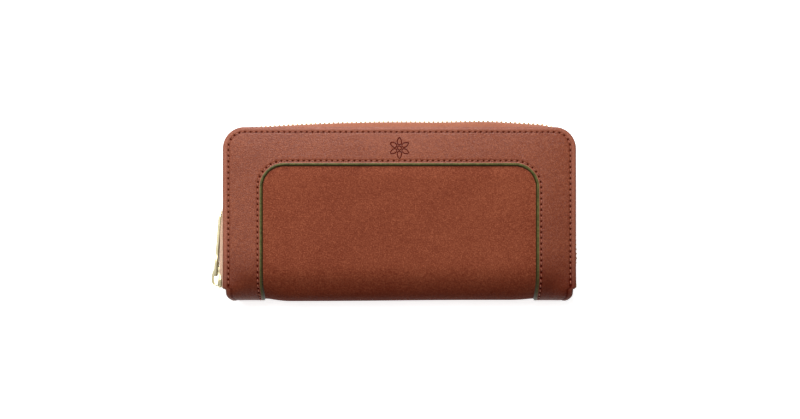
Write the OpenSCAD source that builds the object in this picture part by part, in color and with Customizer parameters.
// Zip around wallet, lying on its back.
// X runs along the spine, +Y from the spine to the long zipped edge, +Z up through the thickness.
// The origin is in the middle of the back face, which lies on the plane Z = 0.

/* [Wallet] */
// Width across the covers
wallet_w = 196; // [190:1:204]
// Top edge of the covers, measured from the origin
cover_top = 48; // [46:1:52]
// Thickness of the closed wallet
thickness = 24; // [24:0.5:26]
// Line where each cover meets the spine
hinge_y = -40; // [-44:1:-36]
// Radius of the two outer corners of each cover
corner_r = 12; // [8:1:16]
// Radius of the rolled spine
spine_r = 9; // [7:0.5:10]
// How much shorter the spine is than the covers, at each end
spine_inset = 3.5; // [2:0.5:6]

/* [Leather] */
// Thickness of the framing layer on the outside
frame_t = 0.9; // [0.6:0.1:0.9]
// Thickness of the main leather
leather_t = 1.2; // [0.8:0.1:1.2]
// Width of the framing layer's border
border_w = 21; // [16:1:26]
// Radius of the arch's two inner corners
arch_r = 11; // [6:1:16]

/* [Inside] */
// Thickness of the stiffening board in each cover
board_t = 0.6; // [0.4:0.1:0.6]
// Thickness of the lining
lining_t = 0.4; // [0.3:0.1:0.4]
// Number of stepped card pockets in each cover
slot_count = 4; // [4:1:4]
// Height of one step between card pockets
slot_step = 11; // [8:1:11]
// Clear width inside the coin pocket
coin_gap = 4.4; // [4.2:0.1:4.6]
// Distance of the coin zip from the origin
coin_zip_y = 30; // [26:1:31]

/* [Zip] */
// Distance between teeth along one tape
tooth_pitch = 2.54; // [2.4:0.02:3]
// Lean of the zip's two legs, in degrees
leg_lean = 1.9; // [1:0.1:2.5]
// How far the zip bows out along the top edge
bow = 3.5; // [2:0.5:5]
// Length of the main puller from its pivot
puller_l = 36; // [28:1:40]

/* [Hidden] */
$fn = 64;

tan_colour = "sienna";
border_colour = "rosybrown";
lining_colour = "olivedrab";
tape_colour = "sandybrown";
metal_colour = "gold";
board_colour = "tan";

half_w = wallet_w / 2;
mid_z = thickness / 2;
cover_gap = 0.15;                       // each side of the hinge line
layer_gap = 0.1;
leather_z = thickness - frame_t - leather_t;
lining_z = leather_z - 0.7 - lining_t;
slot_t = 0.35;
slot_w = 168;
slot_pitch_z = 0.45;
board_inset = 7;
lining_inset = 2.2;

// Zip chain, measured across the closed teeth
tooth_reach = 2.6;                      // from the middle of the chain to the tape's edge
tooth_lap = 0.9;                        // how far a tooth passes the middle
tooth_t = 2.4;
tooth_w = 1.0;
tape_t = 0.5;

// The chain's line: a straight leg, a corner, a long bowed top, and the same again mirrored
leg_x = half_w + 1.3;
leg_y = hinge_y - 3;
chain_r = corner_r - 0.5;
bow_span = 85;
bow_r = (bow_span * bow_span + bow * bow) / (2 * bow);
bow_y = cover_top + 2.8 - bow_r;
leg_dir = [sin(leg_lean), cos(leg_lean)];
leg_in = [cos(leg_lean), -sin(leg_lean)];
to_leg = [-leg_x, leg_y] + chain_r * leg_in - [0, bow_y];
along = to_leg * leg_dir;
leg_l = -along + sqrt(along * along - to_leg * to_leg + pow(bow_r - chain_r, 2));
corner_c = [-leg_x, leg_y] + leg_l * leg_dir + chain_r * leg_in;
corner_end = atan2(corner_c[1] - bow_y, corner_c[0]);
corner_sweep = 180 - leg_lean - corner_end;
corner_l = chain_r * corner_sweep * PI / 180;
top_l = bow_r * 2 * (corner_end - 90) * PI / 180;
chain_l = 2 * leg_l + 2 * corner_l + top_l;

tooth_count = 2 * floor(chain_l / tooth_pitch);
tooth_step = chain_l / tooth_count;
end_l = 14.4;                           // length of chain that stays with the spine at each end
first_tooth = 5;
first_cover_tooth = ceil((end_l + 0.2 + tooth_w / 2) / tooth_step);

slider_s = 7.1;                         // the parked slider's place along the chain
slider_wing = 1.1;
slider_gap = 1.5;
bridge_t = 2.2;
pivot = [-4.4, 1.2];
puller_lean = 2.9;

coin_scale = 0.68;
coin_rest_x = -76;
coin_wall_t = 0.6;
coin_half_w = 92;
coin_floor_y = hinge_y - 5;
coin_puller_l = 16;
coin_tooth_step = 1.14;
coin_tooth_count = floor((coin_half_w - 14 - coin_rest_x) / coin_tooth_step);

// Point on the chain's line: x, y and the direction that faces out of the wallet
function mirrored(p) = [-p[0], p[1], 180 - p[2]];
function round_corner(a) = [
    corner_c[0] + chain_r * cos(a),
    corner_c[1] + chain_r * sin(a),
    a
];
function on_bow(a) = [bow_r * cos(a), bow_y + bow_r * sin(a), a];
function chain_at(s) =
    s > chain_l / 2 ? mirrored(chain_at(chain_l - s)) :
    s < leg_l ? [-leg_x + s * leg_dir[0], leg_y + s * leg_dir[1], 180 - leg_lean] :
    s < leg_l + corner_l ? round_corner(180 - leg_lean - (s - leg_l) / chain_r * 180 / PI) :
    on_bow(corner_end - (s - leg_l - corner_l) / bow_r * 180 / PI);

// Point on a cover's outline beside the same place on the chain, drawn in by inset
function rim_at(s, inset) =
    s > chain_l / 2 ? mirrored(rim_at(chain_l - s, inset)) :
    s < leg_l ? [
        inset - half_w,
        leg_y + (cover_top - corner_r - leg_y) * s / leg_l,
        180
    ] :
    s < leg_l + corner_l ? rim_corner(180 - 90 * (s - leg_l) / corner_l, inset) : [
        (half_w - corner_r) * (2 * (s - leg_l - corner_l) / top_l - 1),
        cover_top - inset,
        90
    ];
function rim_corner(a, inset) = [
    corner_r - half_w + (corner_r - inset) * cos(a),
    cover_top - corner_r + (corner_r - inset) * sin(a),
    a
];
function at_height(p, z) = [p[0], p[1], z];
function outward(p, d) = [p[0] + d * cos(p[2]), p[1] + d * sin(p[2]), p[2]];
function mix(a, b, f) = a * (1 - f) + b * f;

// One cross-section of a cover's tape: from its sewn edge under the leather to the teeth
function tape_ring(s) =
    let (
        teeth = chain_at(s),
        outside = outward(teeth, tape_t / 2),
        inside = outward(teeth, -tape_t / 2),
        top = leather_z - layer_gap
    ) [
        at_height(rim_at(s, 6), top),
        at_height(rim_at(s, 0.9), top),
        at_height(mix(rim_at(s, 0.9), outside, 0.55), 18.6),
        at_height(outside, mid_z + tooth_reach),
        at_height(inside, mid_z + tooth_reach),
        at_height(mix(rim_at(s, 1.5), inside, 0.55), 18.6),
        at_height(rim_at(s, 1.5), top - tape_t),
        at_height(rim_at(s, 6), top - tape_t)
    ];

function steps(from, to, count) = [for (i = [0:count]) from + (to - from) * i / count];
tape_places = concat(
    steps(end_l + 0.2, leg_l, 3),
    steps(leg_l + 2, leg_l + corner_l - 1, 6),
    steps(leg_l + corner_l, chain_l - leg_l - corner_l, 16),
    steps(chain_l - leg_l - corner_l + 1, chain_l - leg_l - 2, 6),
    steps(chain_l - leg_l, chain_l - end_l - 0.2, 3)
);

// Outline of a cover, drawn in by inset; its bottom edge is just short of the hinge line
module cover_outline(inset = 0) {
    bottom = hinge_y + cover_gap;
    r = corner_r - inset;
    x = half_w - inset;
    top = cover_top - inset;
    translate([-x, bottom]) square([2 * x, top - r - bottom]);
    translate([r - x, bottom]) square([2 * (x - r), top - bottom]);
    for (side = [-1, 1]) translate([side * (x - r), top - r]) circle(r);
}

// The arch that the framing layer leaves open, running out past the hinge line
module arch_outline() {
    x = half_w - border_w;
    top = cover_top - border_w;
    translate([-x, hinge_y - 20]) square([2 * x, top - arch_r - hinge_y + 20]);
    translate([arch_r - x, hinge_y - 20]) square([2 * (x - arch_r), top - hinge_y + 20]);
    for (side = [-1, 1]) translate([side * (x - arch_r), top - arch_r]) circle(arch_r);
}

// Stands the given front-cover piece, or its mirror image in the back cover
module in_cover(back) {
    if (back) translate([0, 0, thickness]) mirror([0, 0, 1]) children();
    else children();
}

module layer(z, t) {
    translate([0, 0, z]) linear_extrude(t) children();
}

module frame_leather(back = false) {
    color(border_colour) in_cover(back) layer(thickness - frame_t, frame_t) difference() {
        cover_outline();
        arch_outline();
    }
}

module cover_leather(back = false) {
    color(tan_colour) in_cover(back) layer(leather_z, leather_t) cover_outline();
}

module cover_board(back = false) {
    color(board_colour) in_cover(back) layer(leather_z - board_t - 0.05, board_t)
        cover_outline(board_inset);
}

module cover_lining(back = false) {
    color(lining_colour) in_cover(back) layer(lining_z, lining_t) cover_outline(lining_inset);
}

// Card pocket n counts from the tallest, which lies against the lining
module card_pocket(n, back = false) {
    bottom = hinge_y + 4;
    top = cover_top - 14 - slot_step * (n - 1);
    color(lining_colour) in_cover(back) layer(lining_z - slot_pitch_z * n, slot_t)
        translate([-slot_w / 2, bottom]) square([slot_w, top - bottom]);
}

module zip_tape(back = false) {
    rings = [for (s = tape_places) tape_ring(s)];
    last = len(rings) - 1;
    n = len(rings[0]);
    walls = [
        for (i = [0:last - 1], j = [0:n - 1])
            let (a = i * n + j, b = i * n + (j + 1) % n)
                each [[a, b, b + n], [a, b + n, a + n]]
    ];
    caps = [
        for (j = [0:n / 2 - 2])
            let (a = j, b = j + 1, c = n - 2 - j, d = n - 1 - j)
                each [
                    [a, d, c], [a, c, b],
                    [last * n + a, last * n + c, last * n + d],
                    [last * n + a, last * n + b, last * n + c]
                ]
    ];
    color(tape_colour) in_cover(back)
        polyhedron([for (r = rings) each r], concat(walls, caps), convexity = 6);
}

// One tooth on the chain's line, reaching from one tape's edge just past the middle
module tooth(k, side) {
    p = chain_at(k * tooth_step);
    low = side > 0 ? mid_z - tooth_lap : mid_z - tooth_reach;
    translate([p[0], p[1], low]) rotate([0, 0, p[2]])
        translate([-tooth_t / 2, -tooth_w / 2, 0]) cube([tooth_t, tooth_w, tooth_reach + tooth_lap]);
}

module cover_teeth(side) {
    last = tooth_count - first_cover_tooth;
    color(metal_colour) for (k = [first_cover_tooth:last])
        if (k % 2 == (side > 0 ? 0 : 1)) tooth(k, side);
}

module end_teeth() {
    color(metal_colour) for (k = [first_tooth:first_cover_tooth - 1]) {
        tooth(k, k % 2 == 0 ? 1 : -1);
        tooth(tooth_count - k, k % 2 == 0 ? 1 : -1);
    }
}

// Puts its children on the left leg of the chain: +Y up the leg and -X out of the wallet
module on_leg(s, end = -1) {
    p = chain_at(s);
    mirror([end > 0 ? 1 : 0, 0, 0]) translate([p[0], p[1], mid_z]) rotate([0, 0, -leg_lean])
        children();
}

module end_tape(end) {
    tape_h = 5.2;
    for (side = [-1, 1]) {
        z = side > 0 ? tooth_reach : -tooth_reach - tape_h;
        on_leg(0, end) {
            translate([-tape_t / 2, -0.6, z]) cube([tape_t, end_l + 0.6, tape_h]);
            translate([-tape_t / 2, -0.6, z]) rotate([0, 0, -62]) cube([tape_t, 4, tape_h]);
        }
    }
}

module end_tapes() {
    color(tape_colour) {
        end_tape(-1);
        end_tape(1);
    }
}

module top_stops() {
    stop_l = 1.2;
    stop_h = 1.7;
    color(metal_colour) for (side = [-1, 1])
        on_leg(0) translate([-1.1, -0.6, side > 0 ? tooth_reach - stop_h : -tooth_reach])
            cube([2.2, stop_l, stop_h]);
}

module bottom_stop() {
    color(metal_colour) on_leg(2.6, 1)
        translate([-1.3, -1.2, -tooth_reach]) cube([2.6, 2.4, 2 * tooth_reach]);
}

// Filled section of the rolled spine with the given radius
module spine_section(r) {
    difference() {
        union() {
            for (z = [spine_r, thickness - spine_r]) translate([hinge_y, z]) circle(r);
            translate([hinge_y - r, spine_r]) square([2 * r, thickness - 2 * spine_r]);
        }
        translate([hinge_y - cover_gap, -1]) square([2 * spine_r, thickness + 2]);
    }
}

module spine_band(r_out, t, x0, x1) {
    translate([x0, 0, 0]) rotate([90, 0, 90]) linear_extrude(x1 - x0) difference() {
        spine_section(r_out);
        spine_section(r_out - t);
        translate([hinge_y - cover_gap - 0.01, spine_r - r_out + t])
            square([1, thickness - 2 * (spine_r - r_out + t)]);
    }
}

module spine_frame_leather() {
    x = half_w - spine_inset;
    color(border_colour) {
        spine_band(spine_r, frame_t, -x, border_w - half_w);
        spine_band(spine_r, frame_t, half_w - border_w, x);
    }
}

module spine_leather() {
    x = half_w - spine_inset;
    color(tan_colour) spine_band(spine_r - frame_t, leather_t, -x, x);
}

module spine_board() {
    x = half_w - spine_inset - 4;
    color(board_colour) translate([-x, hinge_y - spine_r + frame_t + leather_t, spine_r + 0.5])
        cube([2 * x, 0.5, thickness - 2 * spine_r - 1]);
}

module spine_lining() {
    x = half_w - spine_inset - 1;
    color(lining_colour) spine_band(spine_r - frame_t - leather_t - 0.5, lining_t, -x, x);
}

spine_floor = hinge_y - spine_r + frame_t + leather_t + 0.5 + lining_t;

module coin_wall(side) {
    z = side > 0 ? mid_z + coin_gap / 2 : mid_z - coin_gap / 2 - coin_wall_t;
    top = coin_zip_y - 2.6;
    color(lining_colour) translate([-coin_half_w, spine_floor, z])
        cube([2 * coin_half_w, top - spine_floor, coin_wall_t]);
}

module coin_base() {
    color(lining_colour) translate([-coin_half_w, spine_floor, mid_z - coin_gap / 2])
        cube([2 * coin_half_w, 0.6, coin_gap]);
}

// Folded strips that close the coin pocket's two ends, with the fold pointing inwards
module coin_side_gussets() {
    fold = 4;
    t = 0.4;
    length = coin_zip_y - 4 - spine_floor - 0.6;
    color(lining_colour) for (side = [0, 1]) mirror([side, 0, 0])
        translate([-coin_half_w, spine_floor + 0.6, mid_z - coin_gap / 2]) difference() {
            cube([fold, length, coin_gap]);
            translate([-1, -1, t]) cube([fold - t + 1, length + 2, coin_gap - 2 * t]);
        }
}

module coin_zip_tapes() {
    reach = coin_scale * tooth_reach;
    out = 3.9;
    t = 0.3;
    drop = 8;
    color(tape_colour) for (side = [0, 1])
        translate([0, 0, mid_z]) mirror([0, 0, side]) {
            translate([-coin_half_w + 1, coin_zip_y - t / 2, reach])
                cube([2 * coin_half_w - 2, t, out - reach]);
            translate([-coin_half_w + 1, coin_zip_y + t / 2 - drop, out - t])
                cube([2 * coin_half_w - 2, drop, t]);
        }
}

module coin_zip_teeth() {
    reach = coin_scale * tooth_reach;
    lap = coin_scale * tooth_lap;
    t = coin_scale * tooth_t;
    w = coin_tooth_step * 0.8;
    color(metal_colour) for (k = [0:coin_tooth_count - 1])
        translate([
            coin_rest_x + k * coin_tooth_step - w / 2 - 0.5,
            coin_zip_y - t / 2,
            mid_z - (k % 2 == 0 ? lap : reach)
        ]) cube([w, t, reach + lap]);
}

module coin_zip_stops() {
    reach = coin_scale * tooth_reach;
    x = coin_rest_x - 6.3 * coin_scale - 1.2;
    color(metal_colour) {
        for (z = [-reach, reach - 1.1]) translate([x, coin_zip_y - 0.8, mid_z + z])
            cube([1.1, 1.6, 1.1]);
        translate([coin_half_w - 12, coin_zip_y - 0.9, mid_z - reach])
            cube([1.8, 1.8, 2 * reach]);
    }
}

// Pleated side wall between a cover and the coin pocket, deepest at the open end
module gusset(left, front) {
    t = 0.4;
    depth = 3.6;
    color(lining_colour) mirror([left ? 0 : 1, 0, 0]) in_cover(!front)
        translate([0, 0, mid_z + coin_gap / 2 + coin_wall_t + 0.2]) difference() {
            linear_extrude(depth) polygon([[-93, -38], [-93, 20], [-77, 20], [-90, -38]]);
            translate([0, 0, t]) linear_extrude(depth - 2 * t)
                polygon([[-94, -39], [-94, 21], [-77.4, 21], [-90.6, -39]]);
        }
}

// Outline of a slider's wing, nose towards -Y and tail towards +Y
module wing_outline() {
    polygon([
        [-6.2, -1.4], [-5.4, -3.8], [-3.8, -4.9], [-1.2, -4.9], [2.4, -3.9], [5.4, -3.9], [6.2, -3.1],
        [6.2, 3.1], [5.4, 3.9], [2.4, 3.9], [-1.2, 4.9], [-3.8, 4.9], [-5.4, 3.8], [-6.2, 1.4]
    ]);
}

// The channel between the wings, open at both ends
module channel_outline() {
    polygon([
        [-7, -3.6], [-5, -4.1], [-1.2, -4.1], [2.4, -3.15], [7, -3.15],
        [7, 3.15], [2.4, 3.15], [-1.2, 4.1], [-5, 4.1], [-7, 3.6]
    ]);
}

module across(x, t) {
    translate([x, 0, 0]) rotate([90, 0, 90]) linear_extrude(t) children();
}

// Slider body around the chain's line: two wings, their turned-in flanges and the wedge between
module slider() {
    flange = 0.8;
    wedge_w = 2.2;
    for (x = [-slider_gap - slider_wing, slider_gap]) across(x, slider_wing) wing_outline();
    for (x = [-slider_gap, slider_gap - flange]) across(x, flange) difference() {
        wing_outline();
        channel_outline();
    }
    across(-slider_gap, 2 * slider_gap) translate([-5.4, -wedge_w / 2]) square([2, wedge_w]);
}

// Loop on the outer wing that the puller hangs from
module bridge() {
    low = slider_gap + slider_wing;
    linear_extrude(bridge_t, center = true) difference() {
        union() {
            translate([-low - 2, -5.2]) square([2, 10.2]);
            translate([-low - 4, -3.2]) square([2, 6.2]);
            for (y = [-3.2, 3]) translate([-low - 2, y]) circle(2);
        }
        translate([-low - 2.8, -3.8]) square([3.8, 7.4]);
    }
}

// Flat puller with a slotted eye; its pivot bar is on the origin and it points along +Y
module puller_shape(length) {
    half_w = 3.5;
    bar_r = 0.7;
    eye_l = 7;
    eye_half_w = 1.7;
    cylinder(h = 2 * half_w, r = bar_r, center = true);
    across(-bar_r, 2 * bar_r) difference() {
        union() {
            translate([0, -half_w]) square([length - half_w, 2 * half_w]);
            translate([length - half_w, 0]) circle(half_w);
        }
        translate([-1, -eye_half_w]) square([eye_l + 1, 2 * eye_half_w]);
    }
}

// The puller at rest on its slider, leaning in against the zip
module hung_puller(length) {
    translate([pivot[0], pivot[1], 0]) rotate([0, 0, -puller_lean]) puller_shape(length);
}

module on_coin_zip() {
    translate([coin_rest_x, coin_zip_y, mid_z]) rotate([0, 0, -90]) scale(coin_scale) children();
}

frame_leather(true);  // back_frame_leather
cover_leather(true);  // back_leather
cover_board(true);  // back_board
cover_lining(true);  // back_lining
card_pocket(1, true);  // back_card_pocket_1
card_pocket(2, true);  // back_card_pocket_2
card_pocket(3, true);  // back_card_pocket_3
card_pocket(4, true);  // back_card_pocket_4
zip_tape(true);  // back_zip_tape
cover_teeth(-1);  // back_zip_teeth
spine_frame_leather();
spine_leather();
spine_board();
spine_lining();
coin_wall(-1);  // coin_wall_back
coin_wall(1);  // coin_wall_front
coin_side_gussets();
coin_base();
coin_zip_tapes();
coin_zip_teeth();
coin_zip_stops();
end_tapes();  // zip_end_tapes
end_teeth();  // zip_end_teeth
top_stops();  // zip_top_stops
bottom_stop();  // zip_bottom_stop
gusset(true, false);  // gusset_back_left
gusset(false, false);  // gusset_back_right
gusset(true, true);  // gusset_front_left
gusset(false, true);  // gusset_front_right
frame_leather();  // front_frame_leather
cover_leather();  // front_leather
cover_board();  // front_board
cover_lining();  // front_lining
card_pocket(1);  // front_card_pocket_1
card_pocket(2);  // front_card_pocket_2
card_pocket(3);  // front_card_pocket_3
card_pocket(4);  // front_card_pocket_4
zip_tape();  // front_zip_tape
cover_teeth(1);  // front_zip_teeth
color(metal_colour) on_leg(slider_s) slider();  // slider_body
color(metal_colour) on_leg(slider_s) bridge();  // slider_bridge
color(metal_colour) on_leg(slider_s) hung_puller(puller_l);  // puller
color(metal_colour) on_coin_zip() slider();  // coin_slider_body
color(metal_colour) on_coin_zip() bridge();  // coin_slider_bridge
color(metal_colour) on_coin_zip() hung_puller(coin_puller_l);  // coin_puller
